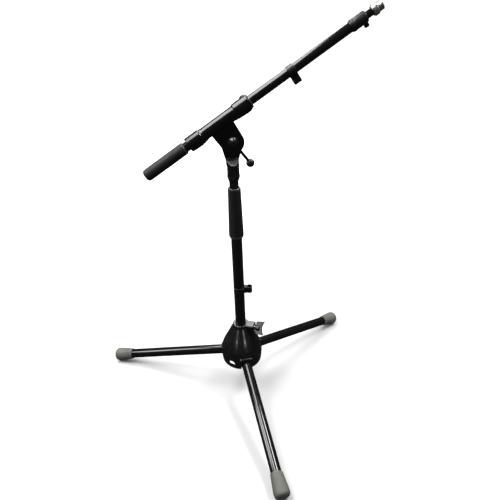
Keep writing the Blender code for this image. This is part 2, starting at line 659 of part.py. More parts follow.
def build_holder(swivel):
    """The tilting holder that clamps the boom: casting, bushes and clamp screw."""
    pivot = frame("boom_pivot", swivel, (0, 0, PIVOT_HEIGHT), (0, -ELEVATION, 0))
    cradle = frame("cradle_axis", pivot, (0, BOOM_OFFSET, BOOM_RISE))
    rear = REAR_COLLAR[0]
    front = FRONT_COLLAR[1]

    casting = placed(rod(CRADLE_RADIUS, rear + 0.002, front - 0.002, ROUND), ALONG_X)
    for ends in (REAR_COLLAR, FRONT_COLLAR):
        casting = joined(casting, placed(chamfered(COLLAR_RADIUS, *ends, 0.001, ROUND), ALONG_X))
    front_lobe = [(0.012, 0.0098, 0.0004), (FRONT_COLLAR[0], 0.0121, 0.0013), (0.0500, 0.0128, 0.0018)]
    front_lobe += [(0.0560, 0.0120, 0.0014), (0.0584, 0.0105, 0.0010)]
    rear_lobe = [(-0.0600, 0.0108, 0), (-0.0570, 0.0122, 0.0006), (-0.0400, 0.0123, 0.0010)]
    rear_lobe += [(-0.0230, 0.0098, 0.0004)]
    casting = joined(casting, lobe(front_lobe), lobe(rear_lobe))
    plate = arc((0, -BOOM_RISE), PLATE_RADIUS, 184, 356, 20)
    plate += [(0.0212, -0.0065), (0.0150, 0), (-0.0150, 0), (-0.0212, -0.0065)]
    plate = slab(plate, PLATE_FRONT - BOOM_OFFSET, PLATE_BACK - BOOM_OFFSET)
    casting = joined(casting, plate)
    along = Matrix.Translation((KNOB_ALONG, 0, 0))
    boss = placed(chamfered(0.0046, 0.006, BOSS_FACE, 0.0004), ALONG_Y, along)
    casting = joined(casting, boss)
    bore = placed(rod(BOOM_RADIUS + 0.0005, rear - 0.01, front + 0.01, ROUND), ALONG_X)
    rear_seat = placed(rod(BUSH_SEAT, rear - 0.01, REAR_COLLAR[1] - 0.004, ROUND), ALONG_X)
    front_seat = placed(rod(BUSH_SEAT, FRONT_COLLAR[0] + 0.004, front + 0.01, ROUND), ALONG_X)
    bolt_hole = placed(rod(BOLT_RADIUS + GAP, -0.02, 0.02), ALONG_Y, Matrix.Translation((0, 0, -BOOM_RISE)))
    screw_hole = placed(rod(0.0033, 0.004, 0.025), ALONG_Y, along)
    casting = cut(casting, bore, rear_seat, front_seat, bolt_hole, screw_hole)
    piece("boom_holder", casting, "cast_black", cradle)

    outer = BUSH_SEAT - GAP
    inner = BOOM_RADIUS + GAP
    rear_bush = [(inner, rear), (outer, rear), (outer, REAR_COLLAR[1] - 0.004 - GAP)]
    rear_bush += [(inner, REAR_COLLAR[1] - 0.004 - GAP)]
    piece("holder_rear_bush", placed(turned(rear_bush), ALONG_X), "plastic_black", cradle)
    start = FRONT_COLLAR[0] + 0.004 + GAP
    front_bush = [(inner, start), (outer, start), (outer, front + GAP), (0.0117, front + GAP)]
    front_bush += [(0.0117, BUSH_FLANGE_END - 0.001), (0.0108, BUSH_FLANGE_END), (inner, BUSH_FLANGE_END)]
    bush = placed(turned(front_bush), ALONG_X)
    shoe_hole = placed(rod(0.0033, 0.004, 0.015), ALONG_Y, along)
    piece("holder_front_bush", cut(bush, shoe_hole), "trim_grey", cradle)
    shoe = placed(rod(0.0030, BOOM_RADIUS + 0.0005, 0.0105), ALONG_Y, along)
    piece("holder_clamp_shoe", shoe, "bronze", cradle)

    knob_axis = frame("holder_knob_axis", cradle, (KNOB_ALONG, 0, 0))
    shank = placed(chamfered(0.0030, 0.0108, BOSS_FACE + 0.0045, 0.0004), ALONG_Y)
    piece("holder_screw_shank", shank, "steel", knob_axis)
    start = BOSS_FACE + 0.0008
    end = start + 0.0120
    knob = [(0, start + 0.0042), (0.0033, start + 0.0042), (0.0033, start), (0.0066, start)]
    knob += [(KNOB_RADIUS, start + 0.0012), (KNOB_RADIUS, end - 0.0020), (KNOB_RADIUS - 0.0012, end - 0.0006)]
    knob += [(0.0052, end), (0, end)]
    piece("holder_knob", placed(turned(knob, 24), ALONG_Y), "plastic_black", knob_axis)
    return cradle


# ---------------------------------------------------------------- boom

def build_boom(cradle):
    """The main boom tube with its grip, cable clip and front clutch."""
    boom = frame("boom_axis", cradle)
    bore = BOOM_RADIUS - TUBE_WALL
    piece("boom_tube", placed(tube(BOOM_RADIUS, bore, BOOM_REAR, BOOM_FRONT), ALONG_X), "tube_black", boom)

    inner = BOOM_RADIUS + GAP
    grip = [(0, BOOM_REAR - GAP), (inner, BOOM_REAR - GAP), (inner, GRIP_FRONT)]
    grip += [(GRIP_RADIUS - 0.0003, GRIP_FRONT), (GRIP_RADIUS, GRIP_FRONT - 0.0010)]
    grip += [(GRIP_RADIUS, -0.1410), (GRIP_RADIUS - 0.0008, -0.1442), (0.0078, -0.1462)]
    grip += [(0.0050, GRIP_REAR), (0, GRIP_REAR)]
    piece("boom_grip", placed(turned(grip), ALONG_X), "soft_grey", boom)
    ring = [(inner, GRIP_FRONT + GAP), (GRIP_RADIUS, GRIP_FRONT + GAP), (GRIP_RADIUS, GRIP_FRONT + 0.0022)]
    ring += [(0.0092, GRIP_FRONT + 0.0034), (inner, GRIP_FRONT + 0.0034)]
    piece("boom_grip_ring", placed(turned(ring), ALONG_X), "trim_grey", boom)

    clip_axis = frame("boom_clip_axis", boom, (BOOM_CLIP_REAR, 0, 0), (0, math.radians(90), 0))
    piece("boom_cable_clip", cable_clip(BOOM_RADIUS), "plastic_black", clip_axis)

    seat = 0.2575
    ring = [(inner, CLUTCH_REAR), (0.0087, CLUTCH_REAR), (0.0091, CLUTCH_REAR + 0.0024)]
    ring += [(0.0100, CLUTCH_REAR + 0.0032)]
    ring += [(0.0102, seat - 0.0006), (0.0098, seat), (inner, seat)]
    piece("boom_clutch_ring", placed(turned(ring), ALONG_X), "plastic_black", boom)
    start = seat + GAP
    body = [
        (inner, start),
        (0.0096, start),
        (0.0098, start + 0.006),
        (0.0098, CLUTCH_FRONT - 0.0015),
        (0.0086, CLUTCH_FRONT),
        (EXTENSION_RADIUS + GAP, CLUTCH_FRONT),
        (EXTENSION_RADIUS + GAP, BOOM_FRONT + GAP),
        (inner, BOOM_FRONT + GAP),
    ]
    clutch = placed(turned(body), ALONG_X)
    screw_place = Matrix.Translation((CLUTCH_SCREW_ALONG, 0, 0))
    downward = Matrix.Rotation(math.radians(180), 4, "X")
    boss = placed(chamfered(0.0038, 0.0070, 0.0108, 0.0003), downward, screw_place)
    hole = placed(rod(0.0023, 0.0030, 0.0150), downward, screw_place)
    piece("boom_clutch_body", cut(joined(clutch, boss), hole), "plastic_black", boom)

    screw_axis = frame("boom_clutch_screw_axis", boom, (CLUTCH_SCREW_ALONG, 0, 0), (math.radians(180), 0, 0))
    screw = [(0, 0.0066), (0.0020, 0.0066), (0.0020, 0.0111), (0.0036, 0.0111), (0.0042, 0.0117)]
    screw += [(0.0042, 0.0145), (0.0036, 0.0152), (0, 0.0152)]
    piece("boom_clutch_screw", turned(screw, 16), "plastic_black", screw_axis)


def build_extension(cradle):
    """The inner boom tube with its guide, threaded tip and lock nut."""
    extension = frame("extension_axis", cradle)
    bore = EXTENSION_RADIUS - 0.0010
    inner_tube = placed(tube(EXTENSION_RADIUS, bore, EXTENSION_REAR, EXTENSION_FRONT, 28), ALONG_X)
    piece("boom_inner_tube", inner_tube, "tube_black", extension)

    guide_radius = BOOM_RADIUS - TUBE_WALL - GAP
    rear = EXTENSION_REAR - GAP
    guide = [(0, rear - 0.006), (guide_radius - 0.0005, rear - 0.006), (guide_radius, rear - 0.0055)]
    guide += [(guide_radius, rear), (bore - GAP, rear), (bore - GAP, rear + 0.012), (0, rear + 0.012)]
    piece("boom_inner_guide", placed(turned(guide, 28), ALONG_X), "plastic_black", extension)

    front = EXTENSION_FRONT + GAP
    tip = [(0, front - 0.014), (bore - GAP, front - 0.014), (bore - GAP, front), (THREAD_RADIUS, front)]
    tip += [(THREAD_RADIUS, THREAD_FRONT - 0.0015), (0.0066, THREAD_FRONT)]
    tip += [(0.0042, THREAD_FRONT), (0.0038, THREAD_FRONT - 0.0006)]
    tip += [(0.0038, THREAD_FRONT - 0.0100), (0, THREAD_FRONT - 0.0100)]
    piece("boom_thread_tip", placed(turned(tip), ALONG_X), "bright_steel", extension)

    inner = THREAD_RADIUS + GAP
    nut = [(inner, NUT_REAR), (NUT_RADIUS - 0.0010, NUT_REAR), (NUT_RADIUS, NUT_REAR + 0.0012)]
    nut += [(NUT_RADIUS, NUT_FRONT - 0.0012), (NUT_RADIUS - 0.0010, NUT_FRONT), (inner, NUT_FRONT)]
    piece("boom_lock_nut", placed(turned(nut), ALONG_X), "bright_steel", extension)


def main():
    for item in list(bpy.data.objects):
        bpy.data.objects.remove(item)
    stand = frame("stand", None, (*POST_PLACE, 0))
    build_base(stand)
    build_base_screw(stand)
    for name, azimuth in LEGS.items():
        build_leg(stand, name, azimuth)
    build_post_tube(stand)
    build_rod(stand)
    swivel = build_swivel(stand)
    build_lever(swivel)
    cradle = build_holder(swivel)
    build_boom(cradle)
    build_extension(cradle)


main()
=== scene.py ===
import json
import math

import bmesh
import bpy
import numpy
from mathutils import Matrix, Vector


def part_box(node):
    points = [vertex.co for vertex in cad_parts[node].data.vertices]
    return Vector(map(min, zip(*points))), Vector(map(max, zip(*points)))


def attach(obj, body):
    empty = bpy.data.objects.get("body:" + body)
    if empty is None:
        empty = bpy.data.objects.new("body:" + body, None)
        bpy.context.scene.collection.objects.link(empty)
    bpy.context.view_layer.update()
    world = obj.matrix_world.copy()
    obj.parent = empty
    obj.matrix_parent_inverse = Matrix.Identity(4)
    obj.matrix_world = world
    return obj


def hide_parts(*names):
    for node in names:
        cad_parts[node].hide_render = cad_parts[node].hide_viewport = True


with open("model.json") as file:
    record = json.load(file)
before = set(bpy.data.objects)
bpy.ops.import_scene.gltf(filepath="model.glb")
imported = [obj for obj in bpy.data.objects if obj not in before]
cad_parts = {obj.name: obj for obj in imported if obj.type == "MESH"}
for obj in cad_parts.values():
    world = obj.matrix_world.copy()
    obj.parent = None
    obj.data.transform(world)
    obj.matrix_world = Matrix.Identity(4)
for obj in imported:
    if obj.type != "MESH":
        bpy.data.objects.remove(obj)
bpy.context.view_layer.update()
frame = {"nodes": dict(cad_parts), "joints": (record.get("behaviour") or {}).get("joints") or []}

GAP = 0.0003  # clearance between neighbouring pieces
WALL = 0.0012  # wall of every tube but the extension's
PIN_HOLE = 0.0028  # radius of the holes for the hinge pins
WING_BORE = 0.0043  # radius of the holes for the wing screw's shank
BOLT_HOLE = 0.0043  # radius of the holes for the pivot bolt
KNOB_BORE = 0.0033  # radius of the holes for the holder knob's shank
SHARP_ANGLE = math.radians(38)  # edges steeper than this are shaded sharp

# ---------------------------------------------------------------- frames of the joints

JOINTS = {joint["name"]: joint for joint in frame["joints"]}


def axes(origin, y, x=None, z=None):
    """A frame from its origin, its Y axis and one of the two others."""
    y = Vector(y).normalized()
    x = y.cross(Vector(z).normalized()) if x is None else Vector(x).normalized()
    z = x.cross(y).normalized()
    y = z.cross(x)
    return Matrix.Translation(origin) @ Matrix((x, y, z)).transposed().to_4x4()


def local_box(node, place):
    """Lowest and highest corner of a CAD node, measured in the frame place."""
    inverse = place.inverted()
    points = numpy.array([inverse @ vert.co for vert in frame["nodes"][node].data.vertices])
    return Vector(points.min(0)), Vector(points.max(0))


def middle(node):
    """The middle of a CAD node's box."""
    low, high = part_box(node)
    return (low + high) / 2


def long_axis(node):
    """The direction in which a CAD node is longest."""
    points = numpy.array([vert.co for vert in frame["nodes"][node].data.vertices])
    directions = numpy.linalg.eigh(numpy.cov(points.T))[1]
    return Vector(directions[:, -1])


UP = Vector((0, 0, 1))
PIVOT_POINT = Vector(JOINTS["lever_turn"]["pos_m"])
PIVOT_AXIS = Vector(JOINTS["lever_turn"]["axis"])
BOOM_AXIS = Vector(JOINTS["boom_slide"]["axis"])
POST = Matrix.Translation((PIVOT_POINT.x, PIVOT_POINT.y, 0))
SWIVEL = axes((PIVOT_POINT.x, PIVOT_POINT.y, 0), y=PIVOT_AXIS, z=UP)
PIVOT = axes(PIVOT_POINT, y=PIVOT_AXIS, z=UP)
BOOM = axes(JOINTS["lock_nut_turn"]["pos_m"], x=BOOM_AXIS, y=PIVOT_AXIS)
BASE_SCREW = axes(JOINTS["base_screw_turn"]["pos_m"], x=JOINTS["base_screw_turn"]["axis"],
                  y=UP.cross(Vector(JOINTS["base_screw_turn"]["axis"])))
KNOB = axes(JOINTS["holder_knob_turn"]["pos_m"], x=BOOM_AXIS, y=PIVOT_AXIS)
BOOM_SCREW = axes(JOINTS["boom_screw_turn"]["pos_m"], x=BOOM_AXIS, y=-PIVOT_AXIS)


def lever_frame():
    """The lever's frame: X out to the ball, Y along the pivot."""
    out = middle("lever_ball") - PIVOT_POINT
    out -= PIVOT_AXIS * out.dot(PIVOT_AXIS)
    return axes(PIVOT_POINT, x=out, y=PIVOT_AXIS)


def leg_frame(name):
    """A leg's frame: X down the leg, Y along its hinge."""
    hinge = JOINTS[f"leg_{name}_fold"]
    place = Vector(hinge["pos_m"])
    out = long_axis(f"leg_{name}_tube")
    if out.dot(middle(f"leg_{name}_foot") - place) < 0:
        out = -out
    return axes(place, x=out, y=hinge["axis"])


LEVER = lever_frame()
LEGS = {name: leg_frame(name) for name in ("front", "right", "left")}
ALONG_X = Matrix.Rotation(math.radians(90), 4, "Y")
ALONG_Y = Matrix.Rotation(math.radians(-90), 4, "X")
QUARTER_TURN = Matrix.Rotation(math.radians(90), 4, "Z")

# ---------------------------------------------------------------- materials


class Graph:
    """Short calls for building one material's nodes."""

    def __init__(self, name):
        self.material = bpy.data.materials.new(name)
        self.material.use_nodes = True
        self.tree = self.material.node_tree
        self.shader = self.tree.nodes["Principled BSDF"]
        self.place = self.add("ShaderNodeTexCoord").outputs["Object"]

    def add(self, kind, **values):
        node = self.tree.nodes.new(kind)
        for key, value in values.items():
            setattr(node, key, value)
        return node

    def link(self, source, target):
        self.tree.links.new(source, target)

    def noise(self, scale, detail=3.0, stretch=(1, 1, 1)):
        """Noise in object space, scale in cells per metre."""
        mapping = self.add("ShaderNodeMapping")
        mapping.inputs["Scale"].default_value = stretch
        self.link(self.place, mapping.inputs["Vector"])
        node = self.add("ShaderNodeTexNoise")
        node.inputs["Scale"].default_value = scale
        node.inputs["Detail"].default_value = detail
        self.link(mapping.outputs["Vector"], node.inputs["Vector"])
        return node.outputs["Fac"]

    def ranged(self, source, low, high, start, end):
        """source between low and high, carried to start and end."""
        node = self.add("ShaderNodeMapRange")
        for key, value in (("From Min", low), ("From Max", high), ("To Min", start), ("To Max", end)):
            node.inputs[key].default_value = value
        self.link(source, node.inputs["Value"])
        return node.outputs["Result"]

    def math(self, operation, first, second):
        node = self.add("ShaderNodeMath", operation=operation)
        for socket, value in zip(node.inputs, (first, second)):
            if isinstance(value, (int, float)):
                socket.default_value = value
            else:
                self.link(value, socket)
        return node.outputs[0]

    def mix(self, share, first, second):
        """A colour between first and second."""
        node = self.add("ShaderNodeMix", data_type="RGBA")
        self.link(share, node.inputs["Factor"])
        for socket, value in ((node.inputs[6], first), (node.inputs[7], second)):
            if isinstance(value, tuple):
                socket.default_value = (*value, 1)
            else:
                self.link(value, socket)
        return node.outputs[2]

    def worn(self, low=0.52, high=0.60):
        """1 on outer edges, broken up by noise, and 0 elsewhere."""
        edge = self.ranged(self.add("ShaderNodeNewGeometry").outputs["Pointiness"], low, high, 0, 1)
        patches = self.ranged(self.noise(180, 4), 0.42, 0.60, 0, 1)
        return self.math("MULTIPLY", edge, patches)

    def bump(self, *layers):
        """Bump from (height, distance in metres) layers."""
        normal = None
        for height, distance in layers:
            node = self.add("ShaderNodeBump")
            node.inputs["Distance"].default_value = distance
            node.inputs["Strength"].default_value = 1.0
            self.link(height, node.inputs["Height"])
            if normal is not None:
                self.link(normal, node.inputs["Normal"])
            normal = node.outputs["Normal"]
        self.link(normal, self.shader.inputs["Normal"])

    def set(self, **values):
        """Plain values on the shader's own sockets."""
        for key, value in values.items():
            self.shader.inputs[key.replace("_", " ")].default_value = value


def painted(name, colour, worn_colour, roughness, peel, coat):
    """Paint or powder coat on metal: orange peel, faint colour drift, duller rubbed edges."""
    graph = Graph(name)
    drift = graph.ranged(graph.noise(28, 2), 0.3, 0.7, 0, 1)
    tone = graph.mix(drift, colour, tuple(channel * 1.5 for channel in colour))
    specks = graph.ranged(graph.noise(1500, 1), 0.66, 0.74, 0, 0.35)
    tone = graph.mix(specks, tone, tuple(min(channel * 5, 1) for channel in colour))
    worn = graph.worn()
    graph.link(graph.mix(worn, tone, worn_colour), graph.shader.inputs["Base Color"])
    smears = graph.ranged(graph.noise(55, 4, (1, 1, 0.4)), 0.3, 0.75, roughness * 0.8, roughness * 1.35)
    rough = graph.math("ADD", smears, graph.math("MULTIPLY", worn, 0.12))
    graph.link(rough, graph.shader.inputs["Roughness"])
    graph.bump((graph.noise(650, 2), peel), (graph.noise(2600, 1), peel * 0.25))
    graph.set(Coat_Weight=coat, Coat_Roughness=0.08)
    return graph.material


def moulded(name, colour, dusty, roughness, grain, scale):
    """Moulded plastic, rubber or a soft grip: fine grain, dust and shiny rubbed edges."""
    graph = Graph(name)
    cloud = graph.ranged(graph.noise(40, 4), 0.35, 0.72, 0, 1)
    tone = graph.mix(cloud, colour, dusty)
    fine = graph.ranged(graph.noise(scale, 3), 0.35, 0.65, 0, 0.5)
    tone = graph.mix(fine, tone, tuple(channel * 0.72 for channel in colour))
    worn = graph.worn(0.51, 0.58)
    lighter = tuple(min(channel * 1.5 + 0.01, 1) for channel in colour)
    graph.link(graph.mix(worn, tone, lighter), graph.shader.inputs["Base Color"])
    patches = graph.ranged(graph.noise(90, 3), 0.3, 0.7, roughness * 0.88, min(roughness * 1.12, 1))
    rough = graph.math("SUBTRACT", patches, graph.math("MULTIPLY", worn, 0.15))
    graph.link(rough, graph.shader.inputs["Roughness"])
    graph.bump((graph.noise(scale, 3), grain), (graph.noise(scale * 3.3, 2), grain * 0.4))
    return graph.material


def plated(name, colour, dark, roughness):
    """Plated or bare metal: a fine bump, drift in tone and dull grime."""
    graph = Graph(name)
    grime = graph.ranged(graph.noise(120, 4), 0.45, 0.72, 0, 0.6)
    graph.link(graph.mix(grime, colour, dark), graph.shader.inputs["Base Color"])
    graph.link(graph.ranged(graph.noise(300, 4), 0.3, 0.7, roughness * 0.7, roughness * 1.5),
               graph.shader.inputs["Roughness"])
    graph.bump((graph.noise(1800, 2), 0.00001))
    graph.set(Metallic=1.0)
    return graph.material


MATERIALS = {
    "cast_black": painted("cast_black", (0.0027, 0.0027, 0.0026), (0.020, 0.020, 0.019),
                          roughness=0.21, peel=0.000015, coat=0.25),
    "tube_black": painted("tube_black", (0.0036, 0.0036, 0.0035), (0.018, 0.018, 0.018),
                          roughness=0.15, peel=0.000005, coat=0.3),
    "plastic_black": moulded("plastic_black", (0.0050, 0.0050, 0.0048), (0.008, 0.008, 0.0075),
                             roughness=0.40, grain=0.00001, scale=900),
    "soft_grey": moulded("soft_grey", (0.0072, 0.0072, 0.0070), (0.0105, 0.0105, 0.0100),
                         roughness=0.62, grain=0.00003, scale=1100),
    "rubber_grey": moulded("rubber_grey", (0.050, 0.050, 0.042), (0.074, 0.074, 0.063),
                           roughness=0.72, grain=0.00007, scale=600),
    "trim_grey": moulded("trim_grey", (0.042, 0.042, 0.040), (0.060, 0.060, 0.057),
                         roughness=0.30, grain=0.00001, scale=900),
    "steel": plated("steel", (0.50, 0.50, 0.50), (0.26, 0.25, 0.23), 0.28),
    "bright_steel": plated("bright_steel", (0.80, 0.79, 0.76), (0.55, 0.53, 0.49), 0.30),
    "bronze": plated("bronze", (0.48, 0.30, 0.13), (0.22, 0.14, 0.07), 0.38),
}

# ---------------------------------------------------------------- shapes


def arc(centre, radius, start, end, steps):
    """Points on a circle from start to end, in degrees."""
    points = []
    for step in range(steps + 1):
        angle = math.radians(start + (end - start) * step / steps)
        points.append((centre[0] + radius * math.cos(angle), centre[1] + radius * math.sin(angle)))
    return points


def eased(points, radius=0.0004, steps=3):
    """A profile with its corners rounded. It is closed unless it starts and ends on the axis."""
    points = [Vector(point) for point in points]
    closed = points[0].x > 0
    result = []
    count = len(points)
    for index, corner in enumerate(points):
        if not closed and index in (0, count - 1):
            result.append(tuple(corner))
            continue
        back = points[index - 1] - corner
        ahead = points[(index + 1) % count] - corner
        angle = back.angle(ahead)
        if angle > math.radians(170):
            result.append(tuple(corner))
            continue
        reach = min(radius / math.tan(angle / 2), 0.45 * back.length, 0.45 * ahead.length)
        start = corner + back.normalized() * reach
        end = corner + ahead.normalized() * reach
        for step in range(steps + 1):
            share = step / steps
            point = start.lerp(corner, share).lerp(corner.lerp(end, share), share)
            result.append(tuple(point))
    return result


def curved(points, steps=5):
    """A smooth curve through the points."""
    points = [Vector(point) for point in points]
    padded = [2 * points[0] - points[1]] + points + [2 * points[-1] - points[-2]]
    result = []
    for index in range(1, len(padded) - 2):
        a, b, c, d = padded[index - 1:index + 3]
        for step in range(steps):
            t = step / steps
            point = b + 0.5 * t * ((c - a) + t * ((2 * a - 5 * b + 4 * c - d) + t * (3 * (b - c) + d - a)))
            result.append(tuple(point))
    result.append(tuple(points[-1]))
    return result


def turned(profile, sides=96, swell=None):
    """A closed solid turned round Z from (radius, height) points. swell scales the radius."""
    shape = bmesh.new()
    rings = []
    for radius, height in profile:
        if radius < 1e-7:
            rings.append([shape.verts.new((0, 0, height))])
            continue
        ring = []
        for side in range(sides):
            angle = 2 * math.pi * side / sides
            reach = radius * (swell(angle, radius, height) if swell else 1)
            ring.append(shape.verts.new((reach * math.cos(angle), reach * math.sin(angle), height)))
        rings.append(ring)
    pairs = list(zip(rings, rings[1:]))
    if len(rings[0]) > 1:
        pairs.append((rings[-1], rings[0]))
    for near, far in pairs:
        for side in range(sides):
            following = (side + 1) % sides
            corners = [near[side % len(near)], near[following % len(near)]]
            corners += [far[following % len(far)], far[side % len(far)]]
            unique = list(dict.fromkeys(corners))
            if len(unique) > 2:
                shape.faces.new(unique)
    bmesh.ops.recalc_face_normals(shape, faces=shape.faces)
    return shape


def tube(outer, inner, low, high, edge=0.0003, sides=96):
    """A tube round Z with its edges rounded."""
    return turned(eased([(outer, low), (outer, high), (inner, high), (inner, low)], edge), sides)


def rod(radius, low, high, sides=48):
    """A solid round bar on Z."""
    return turned([(0, low), (radius, low), (radius, high), (0, high)], sides)


def chamfered(radius, low, high, chamfer, sides=64):
    """A solid round bar on Z with both ends rounded off."""
    profile = [(0, low), (radius, low), (radius, high), (0, high)]
    return turned(eased(profile, chamfer), sides)


def slab(outline, near, far):
    """An outline in X and Z, extruded along Y from near to far."""
    shape = bmesh.new()
    face = shape.faces.new([shape.verts.new((x, near, z)) for x, z in outline])
    extruded = bmesh.ops.extrude_face_region(shape, geom=[face])
    moved = [item for item in extruded["geom"] if isinstance(item, bmesh.types.BMVert)]
    bmesh.ops.translate(shape, verts=moved, vec=(0, far - near, 0))
    bmesh.ops.recalc_face_normals(shape, faces=shape.faces)
    return shape


def box(low, high):
    """A plain block between two corners."""
    outline = [(low[0], low[2]), (high[0], low[2]), (high[0], high[2]), (low[0], high[2])]
    return slab(outline, low[1], high[1])


def placed(shape, *moves):
    """The shape after each matrix in turn."""
    for move in moves:
        bmesh.ops.transform(shape, matrix=move, verts=shape.verts)
    return shape


def scratch(shape):
    """A temporary object that holds a shape."""
    mesh = bpy.data.meshes.new("scratch")
    shape.to_mesh(mesh)
    shape.free()
    item = bpy.data.objects.new("scratch", mesh)
    bpy.context.scene.collection.objects.link(item)
    return item


def evaluated(*items):
    """The first item's shape after its modifiers, with the items then deleted."""
    bpy.context.view_layer.update()
    graph = bpy.context.evaluated_depsgraph_get()
    mesh = bpy.data.meshes.new_from_object(items[0].evaluated_get(graph))
    result = bmesh.new()
    result.from_mesh(mesh)
    bpy.data.meshes.remove(mesh)
    for item in items:
        spare = item.data
        bpy.data.objects.remove(item)
        bpy.data.meshes.remove(spare)
    return result


def combine(body, tools, operation):
    """body after each tool: DIFFERENCE cuts it off, UNION joins it on, INTERSECT keeps where they meet."""
    for tool in tools:
        first = scratch(body)
        second = scratch(tool)
        modifier = first.modifiers.new("combine", "BOOLEAN")
        modifier.operation = operation
        modifier.object = second
        body = evaluated(first, second)
        bmesh.ops.remove_doubles(body, verts=body.verts, dist=0.000002)
    return body


def cut(body, *tools):
    return combine(body, tools, "DIFFERENCE")


def joined(body, *tools):
    return combine(body, tools, "UNION")


def softened(shape, voxel, passes=6):
    """The shape with the rounded edges of a casting or moulding."""
    item = scratch(shape)
    remesh = item.modifiers.new("voxels", "REMESH")
    remesh.mode = "VOXEL"
    remesh.voxel_size = voxel
    smooth = item.modifiers.new("smooth", "SMOOTH")
    smooth.factor = 0.5
    smooth.iterations = passes
    return evaluated(item)


def piece(name, shape, look, body, nodes, place):
    """A finished piece that rides on a body and stands for its CAD nodes."""
    placed(shape, place)
    mesh = bpy.data.meshes.new(name)
    shape.to_mesh(mesh)
    shape.free()
    mesh.materials.append(MATERIALS[look])
    mesh.shade_smooth()
    mesh.set_sharp_from_angle(angle=SHARP_ANGLE)
    item = bpy.data.objects.new(name, mesh)
    bpy.context.scene.collection.objects.link(item)
    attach(item, body)
    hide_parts(*nodes)
    return item


# ---------------------------------------------------------------- base


def bell():
    """The base casting: flared bell, leg openings, lug and cheeks for the hinge pins."""
    inverse = POST.inverted()
    legs = [inverse @ place for place in LEGS.values()]
    headings = [math.atan2(place[1][0], place[0][0]) for place in legs]
    outside = curved([
        (0.0154, 0.1532), (0.0166, 0.1490), (0.0190, 0.1440), (0.0215, 0.1390), (0.0265, 0.1290),
        (0.0302, 0.1220), (0.0346, 0.1130), (0.0382, 0.1040), (0.0401, 0.0950), (0.0406, 0.0880),
        (0.0402, 0.0800), (0.0392, 0.0720), (0.0382, 0.0670),
    ])
    profile = [(0.0147, 0.1540)] + outside
    profile += [(0.0350, 0.0670), (0.0372, 0.0800), (0.0376, 0.0880), (0.0371, 0.0950), (0.0352, 0.1040)]
    profile += [(0.0270, 0.1190), (0.0200, 0.1250), (0.0130, 0.1280), (0.0130, 0.0700)]
    profile += [(0.0103, 0.0700), (0.0103, 0.1540)]

    def swell(angle, radius, height):
        share = min(max((0.148 - height) / 0.05, 0), 1) * min(max((radius - 0.0130) / 0.01, 0), 1)
        return 1 + 0.015 * share * math.cos(3 * (angle - headings[0]))

    casting = turned(profile, 180, swell)
    for heading in headings:
        turn = Matrix.Rotation(heading, 4, "Z")
        for near, far in ((0.0102, 0.0132), (-0.0132, -0.0102)):
            casting = joined(casting, placed(box((0.006, near, 0.073), (0.0350, far, 0.098)), turn))
        brow = [(-0.0130, 0.0860), (0.0130, 0.0860)]
        brow += arc((0.0110, 0.0918), 0.002, 0, 90, 5) + arc((-0.0110, 0.0918), 0.002, 90, 180, 5)
        brow = slab(brow, -0.0432, -0.0378)
        casting = joined(casting, placed(brow, Matrix.Rotation(heading + math.radians(90), 4, "Z")))
    screw = inverse @ BASE_SCREW
    outline = arc((0, 0), 0.0098, 180, 360, 28)
    outline += [(0.0098, 0.0069), (0.0090, 0.0077), (-0.0090, 0.0077), (-0.0098, 0.0069)]
    lug = placed(slab(outline, -0.0278, -0.0120), QUARTER_TURN, screw)
    casting = joined(casting, lug)
    casting = cut(casting, placed(rod(WING_BORE, 0.005, 0.0328), ALONG_X, screw))
    slot = [(-0.0099, -0.045), (0.0099, -0.045)]
    slot += arc((0.0064, 0.0064), 0.0035, 0, 90, 8) + arc((-0.0064, 0.0064), 0.0035, 90, 180, 8)
    window = arc((0, 0.0783), 0.0067, 0, 180, 20) + [(-0.0067, 0.0765), (0.0067, 0.0765)]
    for place, heading in zip(legs, headings):
        # each window is 43 degrees round from its leg, and slab() extrudes along Y
        turn = Matrix.Rotation(heading - math.radians(43 + 90), 4, "Z")
        casting = cut(casting, placed(slab(slot, -0.040, -0.002), QUARTER_TURN, place),
                      placed(slab(window, 0.030, 0.048), turn),
                      placed(rod(PIN_HOLE, -0.0138, 0.0138), ALONG_Y, place))
    casting = softened(casting, 0.0007, 5)
    piece("bell_casting", casting, "cast_black", "base", ["base_casting"], POST)


def wing_screw():
    """The wing screw in the lug, with a thread on its shank."""
    start = 0.0300
    end = start + 0.0170
    span = 0.0132
    outline = [(start + 0.0012, -span + 0.0020), (start + 0.0032, -span + 0.0006), (end - 0.0020, -span)]
    outline += arc((end + 0.0168, 0), 0.0210, 217, 143, 16)
    outline += [(end - 0.0020, span), (start + 0.0032, span - 0.0006), (start + 0.0012, span - 0.0020)]
    boss = placed(chamfered(0.0062, start, start + 0.0085, 0.0008), ALONG_X)
    wing = joined(slab(outline, -0.0034, 0.0034), boss)
    wing = cut(wing, placed(rod(WING_BORE, 0.020, 0.0371), ALONG_X))
    wing = placed(softened(wing, 0.0004, 6), Matrix.Rotation(math.radians(-35), 4, "X"))
    piece("wing_grip", wing, "cast_black", "base_screw", ["base_screw_wing"], BASE_SCREW)
    shank = placed(threaded(0.0040, 0.0127, 0.0368, 0.0010, 0.0003), ALONG_X)
    piece("wing_shank", shank, "steel", "base_screw", ["base_screw_shank"], BASE_SCREW)


def threaded(radius, low, high, pitch, depth, sides=64):
    """A threaded bar on Z with its ends bevelled."""
    count = int((high - low) / pitch * 6)
    heights = [low + (high - low) * index / count for index in range(count + 1)]

    def swell(angle, _, height):
        phase = (height / pitch - angle / (2 * math.pi)) % 1
        taper = min(height - low, high - height) / (0.8 * pitch)
        crest = abs(phase - 0.5) * 2
        return 1 - (depth * crest + max(0, 1 - taper) * 1.2 * depth) / radius

    profile = [(0, low)] + [(radius, height) for height in heights] + [(0, high)]
    return turned(profile, sides, swell)


